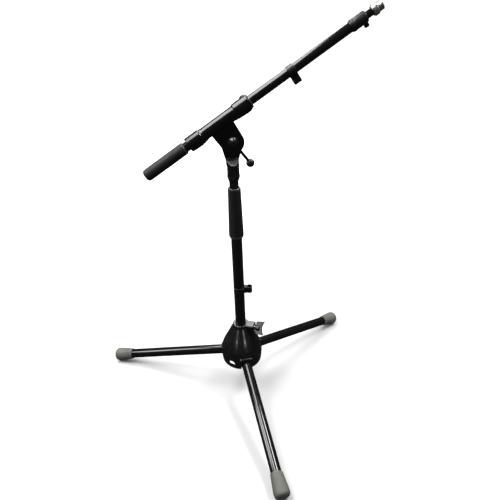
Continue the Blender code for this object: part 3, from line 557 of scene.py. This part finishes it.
def leg(name, place):
    """One leg: tube, knuckle plugged into it, hinge pin and a ringed rubber foot."""
    low, high = local_box(f"leg_{name}_tube", place)
    radius = high.y
    bore = radius - WALL
    leg_tube = placed(tube(radius, bore, low.x, high.x, 0.0004), ALONG_X)
    body = f"leg_{name}"
    piece(f"{name}_leg_tube", leg_tube, "tube_black", body, [f"leg_{name}_tube"], place)

    low, high = local_box(f"leg_{name}_foot", place)
    tip = high.x
    start = tip - 0.042
    outer = curved([
        (0.0108, start + 0.0004), (0.0112, start + 0.0030), (0.0124, start + 0.0150),
        (0.0134, start + 0.0250), (0.0139, start + 0.0320), (0.0136, start + 0.0365),
        (0.0122, start + 0.0398), (0.0085, start + 0.0416), (0, tip),
    ], 12)
    groove_depth, groove_width = 0.00028, 0.00035
    ringed = []
    for reach, along in outer:
        for groove in (start + 0.0222, start + 0.0262, start + 0.0302):
            reach -= groove_depth * math.exp(-((along - groove) / groove_width) ** 2)
        ringed.append((max(reach, 0), along))
    socket = [(0, tip - 0.0117), (radius + GAP, tip - 0.0117), (radius + GAP, start), (0.0104, start)]
    foot = placed(turned(socket + ringed), ALONG_X)
    floor = placed(box((-0.4, -0.4, -0.05), (0.4, 0.4, 0)), place.inverted())
    foot = cut(foot, floor)
    piece(f"{name}_foot", foot, "rubber_grey", body, [f"leg_{name}_foot"], place)

    plug_end = local_box(f"leg_{name}_knuckle", place)[1].x
    outline = arc((0, 0), radius, 90, 270, 40) + [(0.013, -radius), (0.013, radius)]
    corner_cutter = placed(rod(0.0122, -0.02, 0.02, 96), ALONG_X)
    knuckle = combine(slab(outline, -radius, radius), [corner_cutter], "INTERSECT")
    knuckle = joined(knuckle, placed(chamfered(bore - GAP, 0.012, plug_end, 0.0006), ALONG_X))
    knuckle = cut(knuckle, placed(rod(PIN_HOLE, -0.02, 0.02), ALONG_Y))
    piece(f"{name}_knuckle", knuckle, "plastic_black", body, [f"leg_{name}_knuckle"], place)

    low, high = local_box(f"leg_{name}_pin", place)
    pin = placed(chamfered(high.x, low.y, high.y, 0.0005), ALONG_Y)
    piece(f"{name}_hinge_pin", pin, "steel", "base", [f"leg_{name}_pin"], place)


# ---------------------------------------------------------------- post


def cable_clip(radius, width):
    """A spring clip round a tube on Z, with an open holder for a cable at +X."""
    outer = radius + GAP + 0.0012
    reach = radius + 0.0095
    band = tube(outer, radius + GAP, 0, width, 0.0002)
    holder = placed(tube(0.006, 0.0042, 0, width, 0.0002, 72), Matrix.Translation((reach, 0, 0)))
    neck = box((outer - 0.0008, -0.0052, 0), (reach - 0.0048, 0.0052, width))
    mouth = box((reach, -0.0024, -0.005), (reach + 0.010, 0.0024, width + 0.005))
    back = box((-0.020, -0.0050, -0.005), (-0.004, 0.0050, width + 0.005))
    return softened(cut(joined(band, holder, neck), mouth, back), 0.00028, 5)


def post():
    """The lower tube, its cable clip, the twist clutch and the sliding rod."""
    low, high = local_box("post_lower_tube", POST)
    radius = high.x
    piece("lower_tube", tube(radius, radius - WALL, low.z, high.z), "tube_black", "lower_post",
          ["post_lower_tube"], POST)
    low, high = local_box("post_cable_clip", POST)
    turn = math.atan2((low.y + high.y) / 2, (high.x - 0.0058))
    lift = Matrix.Translation((0, 0, low.z)) @ Matrix.Rotation(turn, 4, "Z")
    piece("post_clip_moulding", cable_clip(radius, high.z - low.z), "plastic_black", "post_clip",
          ["post_cable_clip"], POST @ lift)

    low, high = local_box("clutch_sleeve", POST)
    base, top, wide, narrow = low.z, high.z, high.x, high.x - 0.0021
    thickness = 0.0012
    skin = [(wide, base), (narrow, top), (narrow - thickness, top), (wide - thickness, base)]
    piece("clutch_grip", turned(eased(skin, 0.0005, 4)), "soft_grey", "twist_sleeve", ["clutch_sleeve"], POST)
    ring = [(wide - 0.0002, base - GAP), (wide - 0.0004, base - 0.0023), (0.0112, base - 0.0055)]
    ring += [(radius + GAP, base - 0.0055), (radius + GAP, base - GAP)]
    piece("clutch_lower_trim", turned(eased(ring, 0.0004)), "trim_grey", "twist_sleeve",
          ["clutch_bottom_ring"], POST)
    low, high = local_box("post_inner_rod", POST)
    rod_radius = high.x
    piece("inner_rod", tube(rod_radius, rod_radius - WALL, low.z, high.z), "tube_black", "inner_rod",
          ["post_inner_rod"], POST)
    ring = [(0.0100, top + 0.0027), (0.0109, top + 0.0021), (0.0110, top + GAP)]
    ring += [(rod_radius + GAP, top + GAP), (rod_radius + GAP, top + 0.0027)]
    piece("clutch_upper_trim", turned(eased(ring, 0.0003)), "trim_grey", "twist_sleeve",
          ["clutch_top_ring"], POST)

    top = local_box("swivel_lock_ring", POST)[1].z
    ring = [(0.0102, top), (0.0105, top - 0.0007), (0.0100, top - 0.0027), (0.0092, top - 0.0032)]
    ring += [(0.0093, top - 0.0047), (0.0086, top - 0.0067), (0.0051, top - 0.0067), (0.0051, top)]
    piece("lock_ring", turned(eased(ring, 0.0003)), "cast_black", "inner_rod", ["swivel_lock_ring"], POST)


# ---------------------------------------------------------------- swivel


def swivel():
    """The column with its scooped ledge and round ear, the bolt and the lever."""
    foot = local_box("swivel_column", SWIVEL)[0].z
    column = turned([
        (0, 0.4790), (0.0051, 0.4790), (0.0051, foot), (0.0105, foot), (0.0109, foot + 0.0006),
        (0.0109, foot + 0.0028), (0.0104, foot + 0.0036), (0.0104, 0.4960), (0, 0.4960),
    ])
    scoop = [(0.0009, 0.4920), (-0.0085, 0.4832), (-0.0098, 0.4818), (-0.0104, 0.4805), (-0.0110, 0.4770)]
    scoop += [(-0.030, 0.4770), (-0.030, 0.530), (0.0009, 0.530)]
    scoop = placed(slab(scoop, -0.030, 0.030), QUARTER_TURN)
    height = PIVOT_POINT.z
    outline = arc((0, height), 0.019, -14, 194, 60)
    outline += [(-0.0102, 0.4850), (-0.0102, 0.4780), (0.0102, 0.4780), (0.0102, 0.4850)]
    column = joined(cut(column, scoop), slab(outline, 0.0009, 0.0099))
    lift = Matrix.Translation((0, 0, height))
    column = cut(column, placed(rod(BOLT_HOLE, -0.02, 0.02), ALONG_Y, lift))
    piece("swivel_casting", softened(column, 0.0004, 5), "cast_black", "swivel", ["swivel_column"], SWIVEL)

    washer = placed(tube(0.0165, BOLT_HOLE, -0.0006, 0.0006, 0.0002), ALONG_Y)
    piece("friction_washer", washer, "bronze", "swivel", ["pivot_friction_washer"], PIVOT)

    seat = -0.0093
    crown = seat - 0.0052
    dome_radius = 0.01165
    dome = arc((0, crown + dome_radius), dome_radius, -90, -33.6, 14)
    shank = [(0.0097, seat), (0.0040, seat), (0.0040, 0.0180), (0, 0.0180)]
    bolt = placed(turned([(0, crown)] + dome[1:] + shank), ALONG_Y)
    socket = placed(turned([(0, -0.004), (0.0030, -0.004), (0.0030, 0.0015), (0, 0.0015)], 6), ALONG_Y)
    bolt = cut(bolt, placed(socket, Matrix.Translation((0, crown, 0))))
    piece("pivot_bolt_head", bolt, "cast_black", "swivel", ["pivot_bolt"], PIVOT)

    start = 0.0102
    hub = [(0, 0.0184), (BOLT_HOLE, 0.0184), (BOLT_HOLE, start), (0.0078, start), (0.0084, start + 0.0008)]
    hub += [(0.0084, 0.0182), (0.0072, 0.0205), (0, 0.0210)]
    hub = placed(turned(eased(hub, 0.0006, 4)), ALONG_Y)
    root = Vector((0.0066, 0.0150, 0))
    tip = LEVER.inverted() @ middle("lever_ball")
    tip.z = 0
    lean = UP.rotation_difference(tip - root).to_matrix().to_4x4()
    length = (tip - root).length
    place = Matrix.Translation(root)
    hub = cut(hub, placed(rod(0.0029, -0.0005, 0.010), lean, place))
    piece("lever_boss", hub, "cast_black", "lever", ["lever_hub"], LEVER)
    bar = placed(chamfered(0.0026, 0, length - 0.0030, 0.0003, 40), lean, place)
    piece("lever_bar", bar, "cast_black", "lever", ["lever_rod"], LEVER)
    radius = 0.0073
    profile = [(0, -radius)] + arc((0, 0), radius, -84, 62, 40) + [(0.0026 + 0.0003, 0.0067)]
    profile += [(0.0029, -0.0030), (0, -0.0030)]
    profile = [(reach, -along) for reach, along in profile]
    knob = placed(turned(eased(profile, 0.0003)), Matrix.Translation((0, 0, length)), lean, place)
    piece("lever_knob", knob, "plastic_black", "lever", ["lever_ball"], LEVER)


# ---------------------------------------------------------------- boom holder


def lobe(sections):
    """A solid through circles along X, each given as (along, radius, drop below the axis)."""
    alongs = [section[0] for section in sections]
    drops = [section[2] for section in sections]
    curve = curved([(radius, along) for along, radius, _ in sections], 6)
    shape = turned([(0, alongs[0])] + curve + [(0, alongs[-1])])
    for vert in shape.verts:
        vert.co.x += numpy.interp(vert.co.z, alongs, drops)
    return placed(shape, ALONG_X)


def holder():
    """The tilting holder that clamps the boom: casting, bushes and clamp screw."""
    rise = 0.0392
    rear, front = -0.0605, 0.0588
    casting = placed(rod(0.0105, rear + 0.002, front - 0.002, 96), ALONG_X)
    for ends in ((rear, -0.0345), (0.0315, front)):
        casting = joined(casting, placed(chamfered(0.0122, *ends, 0.001, 96), ALONG_X))
    front_lobe = [(0.012, 0.0098, 0.0004), (0.0315, 0.0121, 0.0013), (0.0500, 0.0128, 0.0018)]
    front_lobe += [(0.0560, 0.0120, 0.0014), (0.0584, 0.0105, 0.0010)]
    rear_lobe = [(-0.0600, 0.0108, 0), (-0.0570, 0.0122, 0.0006), (-0.0400, 0.0123, 0.0010)]
    rear_lobe += [(-0.0230, 0.0098, 0.0004)]
    casting = joined(casting, lobe(front_lobe), lobe(rear_lobe))
    plate = arc((0, -rise), 0.0195, 184, 356, 60)
    plate += [(0.0212, -0.0065), (0.0150, 0), (-0.0150, 0), (-0.0212, -0.0065)]
    offset = -0.00495
    casting = joined(casting, slab(plate, -0.009 - offset, -0.0009 - offset))
    along = Matrix.Translation((0.0540, 0, 0))
    casting = joined(casting, placed(chamfered(0.0046, 0.006, 0.0128, 0.0004), ALONG_Y, along))
    bore = placed(rod(0.0085, rear - 0.01, front + 0.01, 96), ALONG_X)
    rear_seat = placed(rod(0.0100, rear - 0.01, -0.0385, 96), ALONG_X)
    front_seat = placed(rod(0.0100, 0.0355, front + 0.01, 96), ALONG_X)
    bolt_hole = placed(rod(BOLT_HOLE, -0.02, 0.02), ALONG_Y, Matrix.Translation((0, 0, -rise)))
    screw_hole = placed(rod(KNOB_BORE, 0.004, 0.025), ALONG_Y, along)
    casting = cut(casting, bore, rear_seat, front_seat, bolt_hole, screw_hole)
    piece("holder_casting", softened(casting, 0.00045, 4), "cast_black", "holder", ["boom_holder"], BOOM)

    inner, outer = 0.0083, 0.0097
    bush = [(inner, rear), (outer, rear), (outer, -0.0388), (inner, -0.0388)]
    piece("rear_bush", placed(turned(eased(bush)), ALONG_X), "plastic_black", "holder",
          ["holder_rear_bush"], BOOM)
    bush = [(inner, 0.0358), (outer, 0.0358), (outer, front + GAP), (0.0117, front + GAP)]
    bush += [(0.0117, 0.0598), (0.0108, 0.0608), (inner, 0.0608)]
    bush = placed(turned(eased(bush)), ALONG_X)
    bush = cut(bush, placed(rod(KNOB_BORE, 0.004, 0.015), ALONG_Y, along))
    piece("front_bush", bush, "trim_grey", "holder", ["holder_front_bush"], BOOM)

    shank = placed(threaded(0.0030, 0.0108, 0.0173, 0.0008, 0.00025, 48), ALONG_Y)
    piece("knob_shank", shank, "steel", "holder_screw", ["holder_screw_shank"], KNOB)
    low, high = local_box("holder_knob", KNOB)
    start, end, radius = low.y, high.y, high.x
    profile = [(0, start + 0.0042), (KNOB_BORE, start + 0.0042), (KNOB_BORE, start), (0.0066, start)]
    profile += [(radius, start + 0.0012)]
    profile += [(radius, start + 0.0012 + (end - start - 0.0036) * index / 8) for index in range(1, 8)]
    profile += [(radius, end - 0.0020), (radius - 0.0012, end - 0.0006), (0.0052, end), (0, end)]

    def flutes(angle, reach, height):
        depth = min(max((reach - 0.0068) / 0.0012, 0), 1)
        return 1 - 0.045 * depth * max(0, math.cos(14 * angle)) ** 2

    knob = placed(turned(profile, 196, flutes), ALONG_Y)
    piece("knob_grip", knob, "plastic_black", "holder_screw", ["holder_knob"], KNOB)


# ---------------------------------------------------------------- boom


def boom():
    """The main boom tube with its grip, cable clip and front clutch."""
    low, high = local_box("boom_tube", BOOM)
    radius = high.y
    rear, front = low.x, high.x
    piece("main_tube", placed(tube(radius, radius - WALL, rear, front), ALONG_X), "tube_black", "boom",
          ["boom_tube"], BOOM)
    low, high = local_box("boom_grip", BOOM)
    wide, mouth, tip = high.y, high.x, low.x
    inner = radius + GAP
    profile = [(0, rear - GAP), (inner, rear - GAP), (inner, mouth), (wide - 0.0003, mouth)]
    profile += [(wide, mouth - 0.001), (wide, tip + 0.0060), (wide - 0.0008, tip + 0.0028)]
    profile += [(0.0078, tip + 0.0008), (0.0050, tip), (0, tip)]
    piece("rear_grip", placed(turned(eased(profile, 0.0008, 5)), ALONG_X), "soft_grey", "boom",
          ["boom_grip"], BOOM)
    ring = [(inner, mouth + GAP), (wide, mouth + GAP), (wide, mouth + 0.0022), (0.0092, mouth + 0.0034)]
    ring += [(inner, mouth + 0.0034)]
    piece("grip_trim", placed(turned(eased(ring, 0.0003)), ALONG_X), "trim_grey", "boom",
          ["boom_grip_ring"], BOOM)

    low, high = local_box("boom_cable_clip", BOOM)
    place = BOOM @ Matrix.Translation((low.x, 0, 0)) @ ALONG_X
    piece("boom_clip_moulding", cable_clip(radius, high.x - low.x), "plastic_black", "boom_clip",
          ["boom_cable_clip"], place)

    start = local_box("boom_clutch_ring", BOOM)[0].x
    seat = start + 0.0075
    ring = [(inner, start), (0.0087, start), (0.0091, start + 0.0024), (0.0100, start + 0.0032)]
    ring += [(0.0102, seat - 0.0006), (0.0098, seat), (inner, seat)]
    piece("clutch_collar", placed(turned(eased(ring, 0.0003)), ALONG_X), "plastic_black", "boom",
          ["boom_clutch_ring"], BOOM)
    end = 0.279
    seat += GAP
    profile = [(inner, seat), (0.0096, seat), (0.0098, seat + 0.006), (0.0098, end - 0.0015), (0.0086, end)]
    profile += [(0.0063, end), (0.0063, front + GAP), (inner, front + GAP)]
    shape = placed(turned(eased(profile, 0.0004)), ALONG_X)
    along = Matrix.Translation((0.2740, 0, 0))
    down = Matrix.Rotation(math.radians(180), 4, "X")
    shape = joined(shape, placed(chamfered(0.0038, 0.0070, 0.0108, 0.0003), down, along))
    shape = cut(shape, placed(rod(0.0023, 0.0030, 0.0150), down, along))
    piece("clutch_barrel", shape, "plastic_black", "boom", ["boom_clutch_body"], BOOM)
    screw = [(0, 0.0066), (0.0020, 0.0066), (0.0020, 0.0111), (0.0036, 0.0111), (0.0042, 0.0117)]
    screw += [(0.0042, 0.0145), (0.0036, 0.0152), (0, 0.0152)]

    def ribs(angle, reach, height):
        return 1 - 0.05 * max(0, math.cos(12 * angle)) ** 2 * (reach > 0.0040)

    piece("clutch_screw", turned(eased(screw, 0.0003), 144, ribs), "plastic_black", "boom_screw",
          ["boom_clutch_screw"], BOOM_SCREW)


def extension():
    """The inner boom tube with its threaded tip and knurled lock nut."""
    low, high = local_box("boom_inner_tube", BOOM)
    wall = 0.0010
    inner_tube = placed(tube(high.y, high.y - wall, low.x, high.x), ALONG_X)
    piece("extension_tube", inner_tube, "tube_black", "extension", ["boom_inner_tube"], BOOM)

    low, high = local_box("boom_thread_tip", BOOM)
    radius, end = high.y, high.x
    start = local_box("boom_inner_tube", BOOM)[1].x + GAP
    pitch = 0.00094
    length = end - 0.0008 - start
    count = int(length / pitch * 8)
    profile = [(0, low.x), (0.0047, low.x), (0.0047, start), (radius - 0.0006, start)]
    profile += [(radius, start + length * index / count) for index in range(count + 1)]
    profile += [(0.0066, end), (0.0042, end), (0.0038, end - 0.0006)]
    profile += [(0.0038, end - 0.0100), (0, end - 0.0100)]

    def thread(angle, reach, height):
        if reach < radius - 0.00001:
            return 1
        phase = (height / pitch - angle / (2 * math.pi)) % 1
        fade = min(max((height - start) / pitch, 0), max((end - 0.0006 - height) / pitch, 0.2), 1)
        return 1 - 0.00045 * abs(phase - 0.5) * 2 * fade / radius

    tip = placed(turned(profile, 120, thread), ALONG_X)
    piece("threaded_tip", tip, "bright_steel", "extension", ["boom_thread_tip"], BOOM)

    low, high = local_box("boom_lock_nut", BOOM)
    wide, rear, front = high.y, low.x, high.x
    inner = radius + GAP
    count = 10
    bevel = 0.0017
    rim = wide - 0.0001
    profile = [(inner, rear), (wide - bevel, rear), (rim, rear + bevel - 0.0001)]
    for index in range(count + 1):
        profile.append((wide, rear + bevel + (front - rear - 2 * bevel) * index / count))
    profile += [(rim, front - bevel + 0.0001), (wide - bevel, front), (inner, front)]

    def knurl(angle, reach, height):
        depth = 1 if reach > rim else 0
        return 1 - 0.010 * depth * (0.5 + 0.5 * math.cos(48 * angle))

    nut = placed(turned(profile, 288, knurl), ALONG_X)
    piece("knurled_nut", nut, "bright_steel", "lock_nut", ["boom_lock_nut"], BOOM)


# ---------------------------------------------------------------- pieces that stay as they are in CAD

KEPT = {
    "base_clamp_pad": "bronze",
    "post_tube_plug": "plastic_black",
    "clutch_body": "plastic_black",
    "clutch_collet": "plastic_black",
    "post_rod_guide": "plastic_black",
    "post_rod_stud": "steel",
    "holder_clamp_shoe": "bronze",
    "boom_inner_guide": "plastic_black",
}


def kept_nodes():
    """Finishes for the CAD nodes that stay."""
    for name, look in KEPT.items():
        for holder_slot in frame["nodes"][name].material_slots:
            holder_slot.link = "OBJECT"
            holder_slot.material = MATERIALS[look]


# ---------------------------------------------------------------- studio


def camera():
    """The camera, at the photograph's viewing angle and distance."""
    pitch, roll, yaw = math.radians(29.2), math.radians(-2.04), math.radians(1.555)
    right = Vector((math.cos(yaw), -math.sin(yaw), 0))
    ahead = Vector((math.sin(yaw) * math.cos(pitch), math.cos(yaw) * math.cos(pitch), -math.sin(pitch)))
    above = right.cross(ahead)
    across = right * math.cos(roll) + above * math.sin(roll)
    upward = above * math.cos(roll) - right * math.sin(roll)
    data = bpy.data.cameras.new("camera")
    data.sensor_width = 36
    data.lens = 38.95
    item = bpy.data.objects.new("camera", data)
    place = POST.translation + Vector((0, -0.861, 0.797))
    item.matrix_world = Matrix.Translation(place) @ Matrix((across, upward, -ahead)).transposed().to_4x4()
    bpy.context.scene.collection.objects.link(item)
    bpy.context.scene.camera = item


def panel(name, place, target, width, height, radiance, only=()):
    """A soft rectangular light at place that faces target. It lights everything, or only the pieces named."""
    data = bpy.data.lights.new(name, "AREA")
    data.shape = "RECTANGLE"
    data.size = width
    data.size_y = height
    data.energy = radiance * math.pi * width * height
    item = bpy.data.objects.new(name, data)
    item.location = place
    item.rotation_mode = "QUATERNION"
    item.rotation_quaternion = (Vector(target) - Vector(place)).to_track_quat("-Z", "Y")
    bpy.context.scene.collection.objects.link(item)
    if only:
        lit = bpy.data.collections.new(name + "_pieces")
        for piece_name in only:
            lit.objects.link(bpy.data.objects[piece_name])
        item.light_linking.receiver_collection = lit


def studio():
    """A pale floor, a white surround and soft lights, some of which shine only on named pieces."""
    shape = bmesh.new()
    bmesh.ops.create_grid(shape, x_segments=1, y_segments=1, size=40)
    mesh = bpy.data.meshes.new("floor")
    shape.to_mesh(mesh)
    shape.free()
    floor = bpy.data.objects.new("floor", mesh)
    bpy.context.scene.collection.objects.link(floor)
    paint = Graph("floor_paint_and_glow")
    paint.set(Base_Color=(0.60, 0.60, 0.60, 1), Roughness=0.95, Specular_IOR_Level=0.0)
    # Painted light: the floor glows white, with no glow within 0.3 m of the middle and 0.95 strength from 1.5
    # m out, so it is painted darker round the stand
    paint.set(Emission_Color=(1, 1, 1, 1))
    reach = paint.add("ShaderNodeVectorMath", operation="LENGTH")
    paint.link(paint.place, reach.inputs[0])
    glow = paint.ranged(reach.outputs["Value"], 0.3, 1.5, 0.0, 0.95)
    paint.link(glow, paint.shader.inputs["Emission Strength"])
    mesh.materials.append(paint.material)
    floor.visible_glossy = False
    floor.visible_diffuse = False

    world = bpy.data.worlds.new("surround")
    bpy.context.scene.world = world
    world.use_nodes = True
    tree = world.node_tree
    surround = tree.nodes["Background"]
    surround.inputs["Color"].default_value = (1, 1, 1, 1)
    seen = tree.nodes.new("ShaderNodeLightPath")
    split = tree.nodes.new("ShaderNodeSeparateXYZ")
    tree.links.new(tree.nodes.new("ShaderNodeTexCoord").outputs["Generated"], split.inputs[0])
    height = tree.nodes.new("ShaderNodeMapRange")
    for key, value in (("From Min", -0.5), ("From Max", 0.0), ("To Min", 0.10), ("To Max", 0.40)):
        height.inputs[key].default_value = value
    tree.links.new(split.outputs["Z"], height.inputs["Value"])
    strength = tree.nodes.new("ShaderNodeMapRange")
    strength.inputs["To Max"].default_value = 0.03
    tree.links.new(height.outputs["Result"], strength.inputs["To Min"])
    tree.links.new(seen.outputs["Is Glossy Ray"], strength.inputs["Value"])
    backdrop = tree.nodes.new("ShaderNodeMapRange")
    backdrop.inputs["To Max"].default_value = 1.0
    tree.links.new(strength.outputs["Result"], backdrop.inputs["To Min"])
    tree.links.new(seen.outputs["Is Camera Ray"], backdrop.inputs["Value"])
    tree.links.new(backdrop.outputs["Result"], surround.inputs["Strength"])

    panel("ceiling_panel", (-0.83, 0.20, 2.2), (-0.73, 0.20, 0), 2.0, 1.05, 9.0)
    panel("left_window", (-1.68, 0.08, 1.33), (-0.1, 0.06, 0.1), 0.7, 1.0, 9.0)
    panel("right_window", (1.00, 0.25, 1.95), (0.50, 0.25, 0.1), 0.95, 0.36, 30.0)
    panel("back_panel", (0.0, 1.85, 1.50), (0, 0, 0.2), 1.2, 0.6, 6.0)
    base = ("bell_casting", "front_foot", "left_foot", "right_foot")
    panel("front_left_strip", (-1.26, -1.58, 1.18), (0, 0, 0.2), 0.42, 1.0, 8.0, base)
    panel("front_right_strip", (0.88, -1.87, 1.20), (0, 0, 0.2), 0.42, 1.0, 7.0, base)
    ledge = ("swivel_casting", "pivot_bolt_head", "lock_ring")
    panel("ledge_panel", (0.0, -0.95, 2.00), (0, 0, 0.48), 0.9, 1.0, 11.0, ledge)
    panel("wing_panel", (-0.91, -1.55, 1.22), (0, 0, 0.2), 1.0, 1.0, 3.0, ("wing_grip",))
    bpy.context.scene.view_settings.view_transform = "Standard"
    bpy.context.scene.view_settings.look = "None"


# ---------------------------------------------------------------- making

camera()
bell()
wing_screw()
for leg_name, leg_place in LEGS.items():
    leg(leg_name, leg_place)
post()
swivel()
holder()
boom()
extension()
kept_nodes()
studio()
